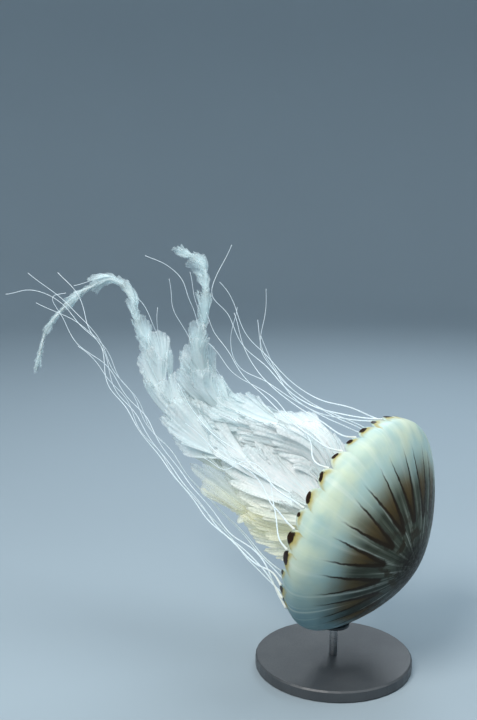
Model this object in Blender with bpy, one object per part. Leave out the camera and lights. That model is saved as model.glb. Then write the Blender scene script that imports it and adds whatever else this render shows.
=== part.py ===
"""Compass jellyfish, life size, on a plain display stand.

Metres, +Z up. The origin is the centre of the underside of the stand's base, straight
below the lowest point of the bell. The crown of the bell points along +X, -Y and a little
down, and the arms and tentacles trail behind it and rise on the -X side.

Most places are given in the bell's own space: how far along its axis (crown positive,
0 in the plane of the margin), how far towards its raised side, and how far towards its
near side, which is on the left of the crown.
"""
import bpy
import bmesh
import math
import numpy as np
from mathutils import Vector

# Bell
BELL_RADIUS = 0.1148
BELL_HEIGHT = 0.0649
MARGIN_RADIUS = 0.1075
MARGIN_DROP = 0.0205
EQUATOR = 0.8                       # share of the profile between the crown and the margin plane
CROWN_PULL = 0.4038                 # how far the profile's curve runs level at the crown
SIDE_PULL = 0.21                    # and how far it runs straight up at the side
BELLY_PULL = 0.456                  # how far the sides below bulge out over the margin
RIM_PULL = 0.3055
RIM_DROP = 0.7
CROWN_LEAN = 0.0077                 # the crown sits a little off the axis
CROWN_LEAN_ANGLE = math.radians(141.7)
BELL_HEADING = math.radians(-37.66)
BELL_PITCH = math.radians(-17.26)
FLOOR_CLEARANCE = 0.0455            # from the floor up to the bell's lowest point
WALL_CROWN = 0.0140
WALL_TIP = 0.0009
WALL_TAPER = 0.8

# Margin
OCTANTS = 8
CLEFTS = 32
CLEFT_PHASE = math.radians(56.2)    # a cleft that holds a sense organ
MARGIN_LINE = 0.88                  # profile share where the lappets' ring starts
MARGIN_GAP = 0.002                  # profile share left free above it
LAPPET_CUT = 0.085                  # profile share between a lappet's tip and its clefts
LAPPET_ROUND = 0.6                  # below 1 the lappets are broad and their clefts narrow
TENTACLE_LINE = 0.962               # profile share where the tentacles leave their clefts
BELL_SEGMENTS = 48
LAPPET_SEGMENTS = 3
GAP = 0.0003                        # between pieces that touch

# Manubrium and arms
ROOF_SHARE = 0.20                   # the hollow's roof is flat inside this profile share
MANUBRIUM_RADIUS = 0.025
MOUTH_RADIUS = 0.017
MOUTH_PLANE = -0.0200
STALK_SEGMENTS = 24
STALK_FLUTES = 4                    # the mouth is drawn out towards its four arms
FLUTE_DEPTH = 0.10
RIB_THICK = 0.0034
WING_THICK = 0.0013
ARM_CURL = 0.40
ARM_RIPPLE = 0.28
RIPPLE_LENGTH = 0.034
RIPPLE_GROWTH = 1.5                 # how fast the ripples grow from the rib to the edges
RIPPLE_LAG = 2.1                    # how far one edge's ripples trail the other's, in radians
EDGE_WAVER = 0.12                   # how much the edges wander in and out
ARM_STATION = 0.0085
SPAN_SAMPLES = 24                   # samples of a smooth curve between two of its points
LENGTH_SAMPLES = 200                # samples of a curve when its length is measured
ARM_TAPER = 0.55
WING_TAPER = 0.30

# Tentacles
TENTACLE_ROOT = 0.0011
TENTACLE_TIP = 0.00035
TENTACLE_TAPER = 1.3
HANG = 0.012                        # how far back from its cleft a tentacle starts to turn in
HANG_PINCH = 0.95                   # and what share of its distance from the axis is left there
TENTACLE_STATION = 0.0180
TENTACLE_LANE = 0.0062              # how far each tentacle keeps from its stream's middle
ROOT_SPREAD = 0.46                  # how much of its root's place a tentacle keeps in its stream
JOIN_DELAY = 0.45                   # how far it joins later, as a share of its way across
TENTACLE_SWAY = 0.0022
SWAY_LENGTH = 0.085
LONG_TENTACLE = 0.36

# Stand
BASE_RADIUS = 0.080
BASE_HEIGHT = 0.012
BASE_BEVEL = 0.0015
ROD_RADIUS = 0.004
SADDLE_RADIUS = 0.016
SADDLE_EDGE = 0.003
SADDLE_BOWL = 0.125
SADDLE_HUB = 1.6                    # the pad's level middle underneath, in rod radii

# Colours
CREAM = (0.80, 0.82, 0.72)
MILK_WHITE = (0.88, 0.90, 0.86)
PALE_BLUE = (0.72, 0.80, 0.84)
CHARCOAL = (0.05, 0.055, 0.06)
STEEL_GREY = (0.62, 0.63, 0.64)

AXIS = Vector((math.cos(BELL_PITCH) * math.cos(BELL_HEADING),
               math.cos(BELL_PITCH) * math.sin(BELL_HEADING),
               math.sin(BELL_PITCH)))
RAISED = (Vector((0, 0, 1)) - AXIS * AXIS.z).normalized()
NEAR = AXIS.cross(RAISED)

# Arm routes: (along, raised, near, half width), from the mouth to the tip
ARM_ROUTES = {
    "arm_raised": [
        (-0.022, 0.012, 0.000, 0.009), (-0.040, 0.036, 0.000, 0.019),
        (-0.066, 0.060, 0.002, 0.027), (-0.105, 0.060, 0.004, 0.031),
        (-0.148, 0.052, 0.006, 0.029), (-0.188, 0.050, 0.008, 0.024),
        (-0.213, 0.067, 0.014, 0.019), (-0.227, 0.097, 0.022, 0.011),
        (-0.230, 0.133, 0.024, 0.008), (-0.238, 0.158, 0.022, 0.008),
        (-0.252, 0.183, 0.020, 0.008), (-0.279, 0.190, 0.029, 0.004)],
    "arm_near": [
        (-0.022, 0.000, 0.012, 0.009), (-0.045, 0.002, 0.029, 0.018),
        (-0.080, 0.006, 0.042, 0.027), (-0.120, 0.006, 0.042, 0.031),
        (-0.165, 0.008, 0.036, 0.028), (-0.209, 0.016, 0.030, 0.024),
        (-0.250, 0.032, 0.028, 0.020), (-0.289, 0.071, 0.028, 0.010),
        (-0.315, 0.099, 0.032, 0.008), (-0.328, 0.120, 0.033, 0.008),
        (-0.353, 0.131, 0.041, 0.007), (-0.372, 0.115, 0.052, 0.005),
        (-0.390, 0.087, 0.065, 0.004), (-0.402, 0.055, 0.075, 0.003),
        (-0.402, 0.010, 0.080, 0.003)],
    "arm_lower": [
        (-0.022, -0.012, 0.000, 0.009), (-0.042, -0.026, 0.004, 0.017),
        (-0.070, -0.038, 0.010, 0.025), (-0.098, -0.042, 0.016, 0.024),
        (-0.124, -0.038, 0.020, 0.014)],
    "arm_far": [
        (-0.022, 0.000, -0.012, 0.009), (-0.045, 0.000, -0.029, 0.018),
        (-0.080, -0.004, -0.040, 0.026), (-0.120, -0.008, -0.038, 0.028),
        (-0.160, -0.010, -0.030, 0.024), (-0.198, -0.004, -0.018, 0.017),
        (-0.232, 0.012, -0.010, 0.008)],
}
ARM_LENGTHS = {"arm_raised": 4, "arm_near": 4, "arm_lower": 2, "arm_far": 3}
ARM_TWISTS = {"arm_raised": math.radians(75), "arm_near": 0.0,
              "arm_lower": 0.0, "arm_far": math.radians(20)}

# Tentacle streams, one for each octant of the margin: the trunk that its three tentacles
# share and where each of the three ends, as (along, raised, near)
STREAMS = [
    {"trunk": [(-0.044, 0.025, 0.070), (-0.068, 0.030, 0.064), (-0.105, 0.033, 0.066)],
     "ends": [[(-0.150, 0.043, 0.066), (-0.188, 0.056, 0.070), (-0.207, 0.074, 0.072)],
              [(-0.148, 0.030, 0.068), (-0.190, 0.036, 0.068)],
              [(-0.128, 0.018, 0.070), (-0.158, 0.012, 0.068)]]},
    {"trunk": [(-0.043, -0.046, 0.070), (-0.094, -0.042, 0.066), (-0.150, -0.022, 0.071),
               (-0.201, 0.005, 0.078), (-0.266, 0.047, 0.091)],
     "ends": [[(-0.310, 0.082, 0.094), (-0.346, 0.106, 0.108), (-0.384, 0.114, 0.130),
               (-0.402, 0.106, 0.145)],
              [(-0.304, 0.090, 0.102), (-0.338, 0.122, 0.104), (-0.366, 0.138, 0.108)],
              [(-0.300, 0.074, 0.108), (-0.334, 0.098, 0.122), (-0.350, 0.118, 0.124),
               (-0.342, 0.126, 0.116)]]},
    {"trunk": [(-0.062, -0.074, 0.026), (-0.097, -0.072, 0.018), (-0.153, -0.052, 0.026),
               (-0.216, -0.020, 0.040), (-0.284, 0.024, 0.052)],
     "ends": [[(-0.320, 0.044, 0.066), (-0.348, 0.056, 0.078)],
              [(-0.328, 0.060, 0.058), (-0.362, 0.082, 0.074), (-0.398, 0.090, 0.100)],
              [(-0.332, 0.076, 0.072), (-0.372, 0.104, 0.088), (-0.410, 0.120, 0.108)]]},
    {"trunk": [(-0.060, -0.090, -0.050), (-0.110, -0.076, -0.074), (-0.188, -0.047, -0.053),
               (-0.259, -0.013, -0.033)],
     "ends": [[(-0.308, 0.034, -0.020), (-0.324, 0.074, -0.017), (-0.352, 0.102, -0.011),
               (-0.392, 0.114, 0.012), (-0.418, 0.100, 0.030)],
              [(-0.306, 0.030, -0.024), (-0.324, 0.064, -0.024), (-0.336, 0.098, -0.026)],
              [(-0.300, 0.020, -0.030), (-0.330, 0.050, -0.034)]]},
    {"trunk": [(-0.070, -0.020, -0.094), (-0.132, -0.024, -0.084), (-0.194, 0.009, -0.056),
               (-0.234, 0.044, -0.034)],
     "ends": [[(-0.259, 0.093, -0.014), (-0.275, 0.127, -0.006), (-0.292, 0.154, 0.002),
               (-0.307, 0.163, 0.011), (-0.326, 0.165, 0.024)],
              [(-0.256, 0.078, -0.032), (-0.280, 0.116, -0.028), (-0.296, 0.158, -0.016)],
              [(-0.270, 0.080, -0.016), (-0.296, 0.118, -0.002), (-0.304, 0.148, 0.006)]]},
    {"trunk": [(-0.050, 0.058, -0.066), (-0.084, 0.064, -0.050), (-0.128, 0.074, -0.038)],
     "ends": [[(-0.166, 0.080, -0.044), (-0.194, 0.104, -0.042), (-0.206, 0.136, -0.046),
               (-0.212, 0.166, -0.048)],
              [(-0.170, 0.094, -0.032), (-0.194, 0.122, -0.034)],
              [(-0.172, 0.074, -0.030), (-0.204, 0.084, -0.022), (-0.222, 0.106, -0.018),
               (-0.228, 0.140, -0.026)]]},
    {"trunk": [(-0.053, 0.084, -0.014), (-0.085, 0.082, -0.012), (-0.130, 0.092, -0.006)],
     "ends": [[(-0.174, 0.122, 0.004), (-0.204, 0.154, 0.014), (-0.222, 0.174, 0.026)],
              [(-0.176, 0.116, 0.008), (-0.200, 0.144, 0.026), (-0.216, 0.162, 0.038),
               (-0.222, 0.186, 0.032), (-0.222, 0.214, 0.022)],
              [(-0.166, 0.112, -0.010), (-0.188, 0.142, -0.008)]]},
    {"trunk": [(-0.053, 0.080, 0.022), (-0.092, 0.086, 0.023), (-0.138, 0.098, 0.030)],
     "ends": [[(-0.168, 0.127, 0.029), (-0.190, 0.153, 0.035)],
              [(-0.175, 0.117, 0.040), (-0.199, 0.130, 0.048), (-0.210, 0.150, 0.050)],
              [(-0.172, 0.106, 0.049), (-0.194, 0.122, 0.058)]]},
]


def clear_scene():
    for thing in list(bpy.data.objects):
        bpy.data.objects.remove(thing, do_unlink=True)


def bezier(first, second, third, last, t):
    left = 1 - t
    return left**3 * first + 3 * left**2 * t * second + 3 * left * t**2 * third + t**3 * last


def outer_profile(share):
    """Radius and height of the bell's outer surface, share 0 at the crown, 1 at the tips."""
    if share <= EQUATOR:
        t = share / EQUATOR
        radius = bezier(0, CROWN_PULL * BELL_RADIUS, BELL_RADIUS, BELL_RADIUS, t)
        height = bezier(BELL_HEIGHT, BELL_HEIGHT, SIDE_PULL * BELL_HEIGHT, 0, t)
        return radius, height
    t = (share - EQUATOR) / (1 - EQUATOR)
    belly = MARGIN_RADIUS + BELLY_PULL * (BELL_RADIUS - MARGIN_RADIUS)
    radius = bezier(BELL_RADIUS, BELL_RADIUS, belly, MARGIN_RADIUS, t)
    height = bezier(0, -RIM_PULL * MARGIN_DROP, -RIM_DROP * MARGIN_DROP, -MARGIN_DROP, t)
    return radius, height


def wall(share):
    """Thickness of the bell's jelly, thick at the crown and thin at the lappets."""
    return WALL_TIP + (WALL_CROWN - WALL_TIP) * max(0.0, 1 - share)**WALL_TAPER


def inner_profile(share, extra=0.0):
    """The outer profile moved inwards by the wall's thickness and extra."""
    step = 0.002
    before = outer_profile(max(0.0, share - step))
    after = outer_profile(min(1.0, share + step))
    run = Vector((after[0] - before[0], after[1] - before[1])).normalized()
    radius, height = outer_profile(share)
    depth = wall(share) + extra
    return max(0.0, radius + run.y * depth), height - run.x * depth


def bell_direction(along, raised, near):
    return AXIS * along + RAISED * raised + NEAR * near


def bell_space(along, raised, near):
    return BELL_CENTRE + bell_direction(along, raised, near)


def profile_place(radius, height, angle):
    """Bell-space place of a profile point at an angle round the axis, leaning with the crown."""
    lean = CROWN_LEAN * height / BELL_HEIGHT
    raised = radius * math.cos(angle) + lean * math.cos(CROWN_LEAN_ANGLE)
    near = radius * math.sin(angle) + lean * math.sin(CROWN_LEAN_ANGLE)
    return height, raised, near


def bell_point(radius, height, angle):
    return bell_space(*profile_place(radius, height, angle))


def lowest_bell_point():
    """The lowest point of the outer surface, relative to the bell's centre."""
    places = []
    for angle_step in range(120, 241):
        for share_step in range(60, 90):
            radius, height = outer_profile(share_step / 100)
            place = profile_place(radius, height, math.radians(angle_step))
            places.append(bell_direction(*place))
    return min(places, key=lambda place: place.z)


def material(name, colour, roughness, metallic=0.0):
    made = bpy.data.materials.get(name)
    if made is None:
        made = bpy.data.materials.new(name)
        made.use_nodes = True
        shader = made.node_tree.nodes["Principled BSDF"]
        shader.inputs["Base Color"].default_value = (*colour, 1)
        shader.inputs["Roughness"].default_value = roughness
        shader.inputs["Metallic"].default_value = metallic
    return made


def bell_jelly():
    return material("bell_jelly", CREAM, 0.35)


def arm_jelly():
    return material("arm_jelly", MILK_WHITE, 0.45)


def tentacle_jelly():
    return material("tentacle_jelly", PALE_BLUE, 0.40)


def stand_paint():
    return material("stand_paint", CHARCOAL, 0.45)


def stand_steel():
    return material("stand_steel", STEEL_GREY, 0.30, metallic=1.0)


def finish_object(name, mesh_data, surface, sharp_angle=math.radians(50)):
    """Make the named object from a bmesh, with outward faces and smooth shading."""
    bmesh.ops.recalc_face_normals(mesh_data, faces=mesh_data.faces)
    mesh = bpy.data.meshes.new(name)
    mesh_data.to_mesh(mesh)
    mesh_data.free()
    mesh.shade_smooth()
    mesh.set_sharp_from_angle(angle=sharp_angle)
    mesh.materials.append(surface)
    thing = bpy.data.objects.new(name, mesh)
    bpy.context.collection.objects.link(thing)
    return thing


def add_ring(mesh_data, points):
    return [mesh_data.verts.new(point) for point in points]


def join_rings(mesh_data, ring, following):
    count = len(ring)
    for i in range(count):
        j = (i + 1) % count
        mesh_data.faces.new((ring[i], ring[j], following[j], following[i]))


def close_to_point(mesh_data, ring, point):
    tip = mesh_data.verts.new(point)
    for i, vert in enumerate(ring):
        mesh_data.faces.new((vert, ring[(i + 1) % len(ring)], tip))


def angles(count):
    return [CLEFT_PHASE + 2 * math.pi * i / count for i in range(count)]


def make_bell():
    """The dome: a thick lens of jelly over an open hollow, down to the lappets' ring."""
    lip = MARGIN_LINE - MARGIN_GAP
    outer_shares = (0.08, 0.18, 0.29, 0.40, 0.52, 0.64, 0.77, lip)
    inner_shares = (ROOF_SHARE, 0.34, 0.48, 0.62, 0.76, lip)
    turns = angles(BELL_SEGMENTS)
    shape = bmesh.new()
    outer = [add_ring(shape, [bell_point(*outer_profile(share), angle) for angle in turns])
             for share in outer_shares]
    inner = [add_ring(shape, [bell_point(*inner_profile(share), angle) for angle in turns])
             for share in inner_shares]
    for rings in (outer, inner):
        for ring, following in zip(rings, rings[1:]):
            join_rings(shape, ring, following)
    join_rings(shape, outer[-1], inner[-1])
    close_to_point(shape, outer[0], bell_point(*outer_profile(0), 0))
    close_to_point(shape, inner[0], bell_point(0, inner_profile(ROOF_SHARE)[1], 0))
    finish_object("bell", shape, bell_jelly())


def lappet_share(angle):
    """Where the margin ends at an angle: 1 at a lappet's tip, less in the clefts."""
    turn = (angle - CLEFT_PHASE) * CLEFTS / (2 * math.pi)
    lobe = abs(math.sin(math.pi * turn))
    return 1 - LAPPET_CUT * (1 - lobe**LAPPET_ROUND)


def make_bell_margin():
    """The ring at the rim of the bell, with its 32 rounded lappets."""
    turns = angles(LAPPET_SEGMENTS * CLEFTS)
    shape = bmesh.new()
    rows = [
        [bell_point(*outer_profile(MARGIN_LINE), angle) for angle in turns],
        [bell_point(*outer_profile(lappet_share(angle)), angle) for angle in turns],
        [bell_point(*inner_profile(lappet_share(angle)), angle) for angle in turns],
        [bell_point(*inner_profile(MARGIN_LINE), angle) for angle in turns],
    ]
    rings = [add_ring(shape, row) for row in rows]
    for i, ring in enumerate(rings):
        join_rings(shape, ring, rings[(i + 1) % len(rings)])
    finish_object("bell_margin", shape, bell_jelly())


def make_manubrium():
    """The thick stalk under the crown, from the hollow's roof to the mouth."""
    shape = bmesh.new()
    roof = inner_profile(ROOF_SHARE)[1] - GAP
    rings = []
    for t in (0.0, 0.2, 0.5, 0.8, 1.0):
        height = roof + (MOUTH_PLANE - roof) * t
        radius = MANUBRIUM_RADIUS + (MOUTH_RADIUS - MANUBRIUM_RADIUS) * math.sin(0.5 * math.pi * t)
        ring = []
        for angle in angles(STALK_SEGMENTS):
            fluted = radius * (1 - FLUTE_DEPTH * t * math.cos(STALK_FLUTES * angle - math.pi))
            ring.append(bell_point(fluted, height, angle))
        rings.append(add_ring(shape, ring))
    for ring, following in zip(rings, rings[1:]):
        join_rings(shape, ring, following)
    close_to_point(shape, rings[0], bell_point(0, roof, 0))
    close_to_point(shape, rings[-1], bell_point(0, MOUTH_PLANE, 0))
    finish_object("manubrium", shape, arm_jelly())


def smooth_path(points, count):
    """A smooth curve through the points, as count points evenly spaced along it.

    The slope at a point is a mean of the spans beside it that leans to the shorter one, so
    a short span beside a long one does not loop.
    """
    points = np.array(points, dtype=float)
    spans = np.linalg.norm(np.diff(points[:, :3], axis=0), axis=1)[:, None]
    slopes = np.diff(points, axis=0) / spans
    inner = (slopes[:-1] * spans[1:] + slopes[1:] * spans[:-1]) / (spans[:-1] + spans[1:])
    slopes = np.vstack([slopes[:1], inner, slopes[-1:]])
    fine = []
    for i, span in enumerate(spans):
        t = np.linspace(0, 1, SPAN_SAMPLES, endpoint=False)[:, None]
        fine.append((2 * t**3 - 3 * t**2 + 1) * points[i] + (3 * t**2 - 2 * t**3) * points[i + 1]
                    + span * ((t**3 - 2 * t**2 + t) * slopes[i] + (t**3 - t**2) * slopes[i + 1]))
    fine = np.vstack([*fine, points[-1]])
    steps = np.linalg.norm(np.diff(fine[:, :3], axis=0), axis=1)
    run = np.concatenate([[0], np.cumsum(steps)])
    stops = np.linspace(0, run[-1], count)
    return np.stack([np.interp(stops, run, column) for column in fine.T], axis=1)


def path_length(points):
    return float(np.linalg.norm(np.diff(smooth_path(points, LENGTH_SAMPLES)[:, :3], axis=0), axis=1).sum())


def carried_frames(path, outward):
    """Tangent, outward and side vectors at each point, turned as little as possible."""
    frames = []
    normal = Vector(outward)
    for i in range(len(path)):
        ahead = Vector(path[min(i + 1, len(path) - 1)])
        behind = Vector(path[max(i - 1, 0)])
        tangent = (ahead - behind).normalized()
        normal = (normal - tangent * normal.dot(tangent)).normalized()
        frames.append((tangent, normal, tangent.cross(normal)))
    return frames


def ribbon_ring(centre, half_width, outward, side, phase, thickness):
    """Ten points round a thin ribbon that curls inwards and ripples at its edges."""
    offsets = (-1.0, -0.5, 0.0, 0.5, 1.0)
    top = []
    bottom = []
    for v in offsets:
        swing = math.sin(phase + (RIPPLE_LAG if v > 0 else 0.0))
        lift = half_width * (ARM_RIPPLE * abs(v)**RIPPLE_GROWTH * swing - ARM_CURL * v * v)
        reach = half_width * v * (1 + EDGE_WAVER * math.sin(0.6 * phase + 2.0 * v))
        place = centre + side * reach + outward * lift
        half = 0.5 * (thickness[0] * (1 - abs(v)) + thickness[1] * abs(v))
        top.append(place + outward * half)
        bottom.append(place - outward * half)
    return top + bottom[::-1]


def join_ribbon(mesh_data, ring, following):
    """Join two ribbon rings by triangles cut the same way above and below, so the two sides
    of the ribbon stay apart however it twists."""
    count = len(ring)
    for i in range(count):
        j = (i + 1) % count
        if i < count // 2:
            mesh_data.faces.new((ring[i], ring[j], following[j]))
            mesh_data.faces.new((ring[i], following[j], following[i]))
        else:
            mesh_data.faces.new((ring[i], ring[j], following[i]))
            mesh_data.faces.new((ring[j], following[j], following[i]))


def strip_cap(mesh_data, ring):
    """Close a ribbon's end with quads between its upper and lower row."""
    half = len(ring) // 2
    for i in range(half - 1):
        mesh_data.faces.new((ring[i], ring[i + 1], ring[-2 - i], ring[-1 - i]))


def make_arm(name, outward):
    """One oral arm: a rippled ribbon on a thicker rib, in a few lengths end to end."""
    route = ARM_ROUTES[name]
    lengths = ARM_LENGTHS[name]
    stations = int(path_length(route) / ARM_STATION)
    stations += lengths - stations % lengths
    path = smooth_path(route, stations + 1)
    centres = [bell_space(*row[:3]) for row in path]
    frames = carried_frames(centres, outward)
    per_length = stations // lengths
    for length in range(lengths):
        shape = bmesh.new()
        rings = []
        for i in range(length * per_length, (length + 1) * per_length + 1):
            tangent, normal, side = frames[i]
            share = i / stations
            turn = ARM_TWISTS[name] * share * share
            outer = normal * math.cos(turn) + side * math.sin(turn)
            across = side * math.cos(turn) - normal * math.sin(turn)
            thickness = (RIB_THICK * (1 - ARM_TAPER * share),
                         WING_THICK * (1 - WING_TAPER * share))
            phase = 2 * math.pi * i * ARM_STATION / RIPPLE_LENGTH
            centre = centres[i]
            if i == length * per_length:
                centre = centre + tangent * 0.5 * GAP
            if i == (length + 1) * per_length:
                centre = centre - tangent * 0.5 * GAP
            ring = ribbon_ring(centre, path[i][3], outer, across, phase, thickness)
            rings.append(add_ring(shape, ring))
        for ring, following in zip(rings, rings[1:]):
            join_ribbon(shape, ring, following)
        strip_cap(shape, rings[0])
        strip_cap(shape, rings[-1])
        finish_object(f"{name}_{length + 1}", shape, arm_jelly(), math.radians(70))


def make_arms():
    make_arm("arm_raised", RAISED)
    make_arm("arm_near", NEAR)
    make_arm("arm_lower", -RAISED)
    make_arm("arm_far", -NEAR)


def tentacle_route(octant, member):
    """Points of one tentacle in bell space: its cleft, its stream's trunk and its own end."""
    angle = CLEFT_PHASE + 2 * math.pi * (octant + (member + 1) / 4) / OCTANTS
    outer = outer_profile(TENTACLE_LINE)
    inner = inner_profile(TENTACLE_LINE)
    radius = 0.5 * (outer[0] + inner[0])
    height = 0.5 * (outer[1] + inner[1])
    root = Vector((height, radius * math.cos(angle), radius * math.sin(angle)))
    hang = Vector((root.x - HANG, HANG_PINCH * root.y, HANG_PINCH * root.z))
    lane_angle = CLEFT_PHASE + 2 * math.pi * (octant / OCTANTS + member / 3)
    lane = TENTACLE_LANE * Vector((0, math.cos(lane_angle), math.sin(lane_angle)))
    trunk = [Vector(point) for point in STREAMS[octant]["trunk"]]
    route = [root, hang]
    for step, point in enumerate(trunk):
        spread = (root - trunk[0]) * (1 - (step + 1) / (len(trunk) + 1))
        delay = JOIN_DELAY * math.hypot(spread.y, spread.z)
        spread *= ROOT_SPREAD
        spread.x = -delay
        route.append(point + lane + spread)
    route += [Vector(point) for point in STREAMS[octant]["ends"][member]]
    return route


def make_tentacle(octant, member):
    """One marginal tentacle: a thin tapering tube, the long ones in two lengths."""
    route = tentacle_route(octant, member)
    length = path_length(route)
    lengths = 2 if length > LONG_TENTACLE else 1
    stations = int(length / TENTACLE_STATION)
    stations += stations % lengths
    path = smooth_path(route, stations + 1)
    phase = 1.7 * octant + 0.5 * member
    centres = []
    for i, row in enumerate(path):
        share = i / stations
        sway = TENTACLE_SWAY * math.sin(math.pi * min(1.0, 2.5 * share) / 2)**2
        wave = 2 * math.pi * i * TENTACLE_STATION / SWAY_LENGTH + phase
        shift = Vector((0, sway * math.sin(wave), sway * math.cos(1.3 * wave)))
        centres.append(bell_space(*(Vector(row) + shift)))
    frames = carried_frames(centres, RAISED + NEAR * 0.3)
    per_length = stations // lengths
    for part in range(lengths):
        shape = bmesh.new()
        rings = []
        for i in range(part * per_length, (part + 1) * per_length + 1):
            tangent, normal, side = frames[i]
            share = i / stations
            radius = TENTACLE_TIP + (TENTACLE_ROOT - TENTACLE_TIP) * (1 - share)**TENTACLE_TAPER
            centre = centres[i]
            if part > 0 and i == part * per_length:
                centre = centre + tangent * GAP
            ring = [centre + normal * radius, centre + side * radius,
                    centre - normal * radius, centre - side * radius]
            rings.append(add_ring(shape, ring))
        for ring, following in zip(rings, rings[1:]):
            join_rings(shape, ring, following)
        shape.faces.new(rings[0])
        shape.faces.new(rings[-1])
        suffix = f"_{part + 1}" if lengths > 1 else ""
        number = 3 * octant + member + 1
        finish_object(f"tentacle_{number:02d}{suffix}", shape, tentacle_jelly(), math.radians(100))


def make_tentacles():
    for octant in range(OCTANTS):
        for member in range(3):
            make_tentacle(octant, member)


def turned(name, profile, segments, surface, sharp_angle):
    """A closed body turned about the Z axis from (radius, height) points, axis to axis."""
    shape = bmesh.new()
    rings = []
    for radius, height in profile[1:-1]:
        ring = []
        for i in range(segments):
            angle = 2 * math.pi * i / segments
            ring.append((radius * math.cos(angle), radius * math.sin(angle), height))
        rings.append(add_ring(shape, ring))
    for ring, following in zip(rings, rings[1:]):
        join_rings(shape, ring, following)
    close_to_point(shape, rings[0], (0, 0, profile[0][1]))
    close_to_point(shape, rings[-1], (0, 0, profile[-1][1]))
    return finish_object(name, shape, surface, sharp_angle)


def make_stand():
    """A round base, one short rod and a dished pad under the bell."""
    edge = BASE_RADIUS - BASE_BEVEL
    turned("stand_base", [
        (0, 0), (edge, 0), (BASE_RADIUS, BASE_BEVEL),
        (BASE_RADIUS, BASE_HEIGHT - BASE_BEVEL), (edge, BASE_HEIGHT), (0, BASE_HEIGHT)],
        40, stand_paint(), math.radians(30))
    pad_top = FLOOR_CLEARANCE - GAP
    dish = []
    for share in (0.0, 0.5, 1.0):
        reach = share * SADDLE_RADIUS
        rise = SADDLE_BOWL - math.sqrt(SADDLE_BOWL**2 - reach**2)
        dish.append((reach, pad_top + rise))
    under = pad_top - SADDLE_EDGE
    turned("stand_saddle", [
        (0, under), (SADDLE_HUB * ROD_RADIUS, under), (SADDLE_RADIUS, under + 0.6 * SADDLE_EDGE),
        dish[2], dish[1], dish[0]],
        20, stand_paint(), math.radians(30))
    turned("stand_rod", [
        (0, BASE_HEIGHT + GAP), (ROD_RADIUS, BASE_HEIGHT + GAP),
        (ROD_RADIUS, under - GAP), (0, under - GAP)],
        16, stand_steel(), math.radians(30))


BELL_CENTRE = Vector((0, 0, FLOOR_CLEARANCE)) - lowest_bell_point()

clear_scene()
make_bell()
make_bell_margin()
make_manubrium()
make_arms()
make_tentacles()
make_stand()
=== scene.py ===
"""Looks of the compass jellyfish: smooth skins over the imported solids, with the bell's
compass marks, the frilled oral arms and the fine tentacles, the stand's finish, and a
plain studio.

Metres, +Z up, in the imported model's own frame. Most shapes are worked out in the bell's
own space: how far along its axis (crown positive), how far towards its raised side, and
how far towards its near side.
"""
import math
from math import pi, radians

import bpy
import numpy as np
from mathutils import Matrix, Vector
from numpy.linalg import norm


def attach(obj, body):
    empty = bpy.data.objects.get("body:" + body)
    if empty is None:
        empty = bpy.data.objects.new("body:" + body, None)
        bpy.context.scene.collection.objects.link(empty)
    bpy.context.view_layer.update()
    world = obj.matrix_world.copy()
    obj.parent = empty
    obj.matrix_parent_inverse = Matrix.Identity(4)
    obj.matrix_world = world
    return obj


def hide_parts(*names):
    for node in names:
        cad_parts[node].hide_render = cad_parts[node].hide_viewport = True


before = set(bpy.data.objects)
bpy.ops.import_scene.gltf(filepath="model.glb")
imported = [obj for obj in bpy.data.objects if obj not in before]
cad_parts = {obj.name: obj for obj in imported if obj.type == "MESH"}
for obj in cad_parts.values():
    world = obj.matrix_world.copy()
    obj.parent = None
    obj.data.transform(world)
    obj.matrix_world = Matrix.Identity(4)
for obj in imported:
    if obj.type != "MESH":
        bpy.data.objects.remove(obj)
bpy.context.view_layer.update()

TURN = 2 * pi

# Bell, as in the solids
BELL_RADIUS = 0.1148
BELL_HEIGHT = 0.0649
MARGIN_RADIUS = 0.1075
MARGIN_DROP = 0.0205
EQUATOR = 0.8  # share of the profile between the crown and the margin plane
CROWN_LEAN = 0.0077
CROWN_LEAN_ANGLE = radians(141.7)
BELL_HEADING = radians(-37.66)
BELL_PITCH = radians(-17.26)
FLOOR_CLEARANCE = 0.0455
WALL_CROWN = 0.014
WALL_TIP = 0.0009
WALL_TAPER = 0.8
CROWN_PULL = 0.4038  # how far the crown's curve runs level, as a share of the radius
SIDE_PULL = 0.21
BELLY_PULL = 0.456
RIM_PULL = 0.3055
RIM_DROP = 0.7

# Margin
OCTANTS = 8
CLEFTS = 32
CLEFT_PHASE = radians(56.2)
LAPPET_CUT = 0.085
LAPPET_COLUMNS = 16
TENTACLE_LINE = 0.962
SOFT_BELT = 0.1  # reach and passes of the smoothing round the bell's equator
SOFT_PASSES = 80
SKIN_INSET = 0.0003  # the bell's skin lies this far inside the solids' outline
FURROW_DEPTH = 0.0014
FURROW_REACH = 0.09
LAPPET_FLARE = 0.0016  # how far a lappet may bend out or in at its tip

# Manubrium and arms
ROOF_SHARE = 0.2
MANUBRIUM_RADIUS = 0.025
MOUTH_RADIUS = 0.017
MOUTH_PLANE = -0.02
ARM_STEP = 0.002
SPAN_SAMPLES = 24  # samples of a smooth curve between two of its points
LENGTH_SAMPLES = 200  # samples of a curve when its length is measured
EDGE_THICK = 0.00055
PATCH_GAP = 0.0016  # between two patches on a piece's flat map

# Tentacles
TENTACLE_ROOT = 0.0009
TENTACLE_TIP = 0.0003
TENTACLE_STATION = 0.018
TENTACLE_LANE = 0.0062
ROOT_SPREAD = 0.46
JOIN_DELAY = 0.45
TENTACLE_SWAY = 0.0022
SWAY_LENGTH = 0.085
LONG_TENTACLE = 0.36
TENTACLE_TAPER = 2.0
TENTACLE_ROW = 0.0022
TENTACLE_SIDES = 8
BEAD_LENGTH = 0.0075
HANG = 0.012
HANG_PINCH = 0.95

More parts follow.
